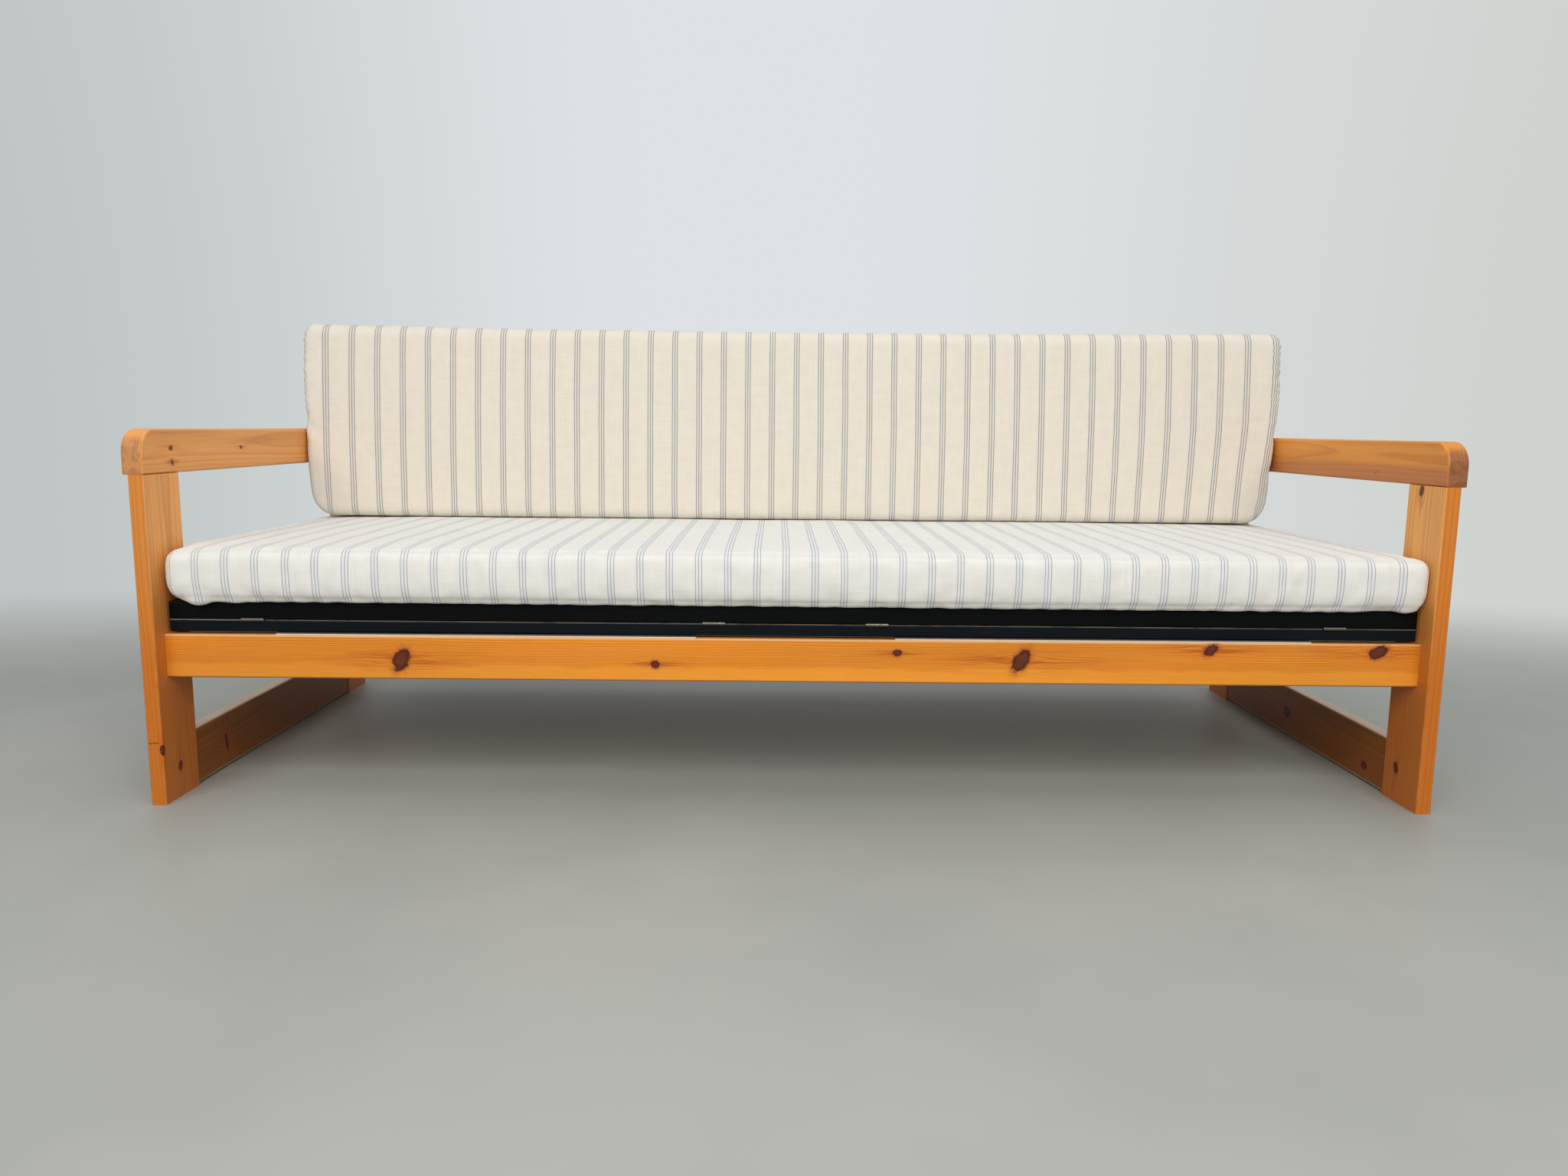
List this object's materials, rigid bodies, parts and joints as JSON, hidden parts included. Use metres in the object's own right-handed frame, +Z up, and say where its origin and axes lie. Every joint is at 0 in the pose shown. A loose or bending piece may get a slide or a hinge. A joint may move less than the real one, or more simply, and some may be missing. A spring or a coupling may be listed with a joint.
{
  "type": "pull-out bench bed",
  "caption": "Pine bench bed with plank ends and arms, black front boards on a pull-out slatted frame, folding legs, a seat mattress and a folded back mattress.",
  "frame": {"origin": "on the floor, under the middle of the bench's bounding box", "axes": "+X along the bench to the sitter's left hand when seated, +Y to the back, +Z up; the open front faces -Y"},
  "size_m": [2.066, 0.86, 0.8027],
  "materials": {
    "lacquered_pine": "aged clear lacquer, satin",
    "bare_pine": "planed, unfinished",
    "black_paint": "black paint, satin, worn at the edges",
    "striped_cover": "cream cotton with grey-blue stripes",
    "white_glide": "smooth white nylon",
    "hinge_steel": "dull steel",
    "zinc_steel": "zinc plated"
  },
  "bodies": {
    "bench": {"back_rest_rail": "lacquered_pine", "fixed_slats": "bare_pine", "front_rail": "lacquered_pine", "glide_strip_left": "white_glide", "glide_strip_right": "white_glide", "left_arm": "lacquered_pine", "left_front_leg": "lacquered_pine", "left_rear_leg": "lacquered_pine", "left_side_rail": "lacquered_pine", "rail_barrel_nuts": "zinc_steel", "rail_bolts": "zinc_steel", "rear_bearer": "bare_pine", "rear_ledge": "bare_pine", "rear_rail": "lacquered_pine", "right_arm": "lacquered_pine", "right_front_leg": "lacquered_pine", "right_rear_leg": "lacquered_pine", "right_side_rail": "lacquered_pine"},
    "pull_out_frame": {"upper_front_board": "black_paint", "lower_front_board": "black_paint", "runner_rear_board": "bare_pine", "runners": "bare_pine", "stop_blocks": "bare_pine", "sliding_slats": "bare_pine", "hinge_upper_leaves": "hinge_steel", "hinge_lower_leaves": "hinge_steel", "hinge_pins": "hinge_steel", "leg_pivot_bolts": "zinc_steel"},
    "left_leg_frame": {"left_folding_leg_foot_bar": "bare_pine", "left_folding_leg_inner_post": "bare_pine", "left_folding_leg_outer_post": "bare_pine", "left_folding_leg_upper_bar": "bare_pine"},
    "right_leg_frame": {"right_folding_leg_foot_bar": "bare_pine", "right_folding_leg_inner_post": "bare_pine", "right_folding_leg_outer_post": "bare_pine", "right_folding_leg_upper_bar": "bare_pine"},
    "seat_mattress": {"seat_mattress": "striped_cover"},
    "back_mattress": {"back_mattress": "striped_cover"}
  },
  "joints": [
    {"name": "frame_pull_out", "type": "slide", "parent": "bench", "child": "pull_out_frame", "axis": [0, -1, 0], "range_m": [0, 0.7]},
    {"name": "left_leg_fold", "type": "hinge", "parent": "pull_out_frame", "child": "left_leg_frame", "pos_m": [-0.4926, -0.3237, 0.2858], "axis": [-1, 0, 0], "range_deg": [0, 90]},
    {"name": "right_leg_fold", "type": "hinge", "parent": "pull_out_frame", "child": "right_leg_frame", "pos_m": [0.4926, -0.3237, 0.2858], "axis": [-1, 0, 0], "range_deg": [0, 90]},
    {"name": "seat_mattress_lift", "type": "slide", "parent": "bench", "child": "seat_mattress", "axis": [0, -0.6, 0.8], "range_m": [0, 0.4]},
    {"name": "back_mattress_lift", "type": "slide", "parent": "seat_mattress", "child": "back_mattress", "axis": [0, 0, 1], "range_m": [0, 0.45]}
  ]
}
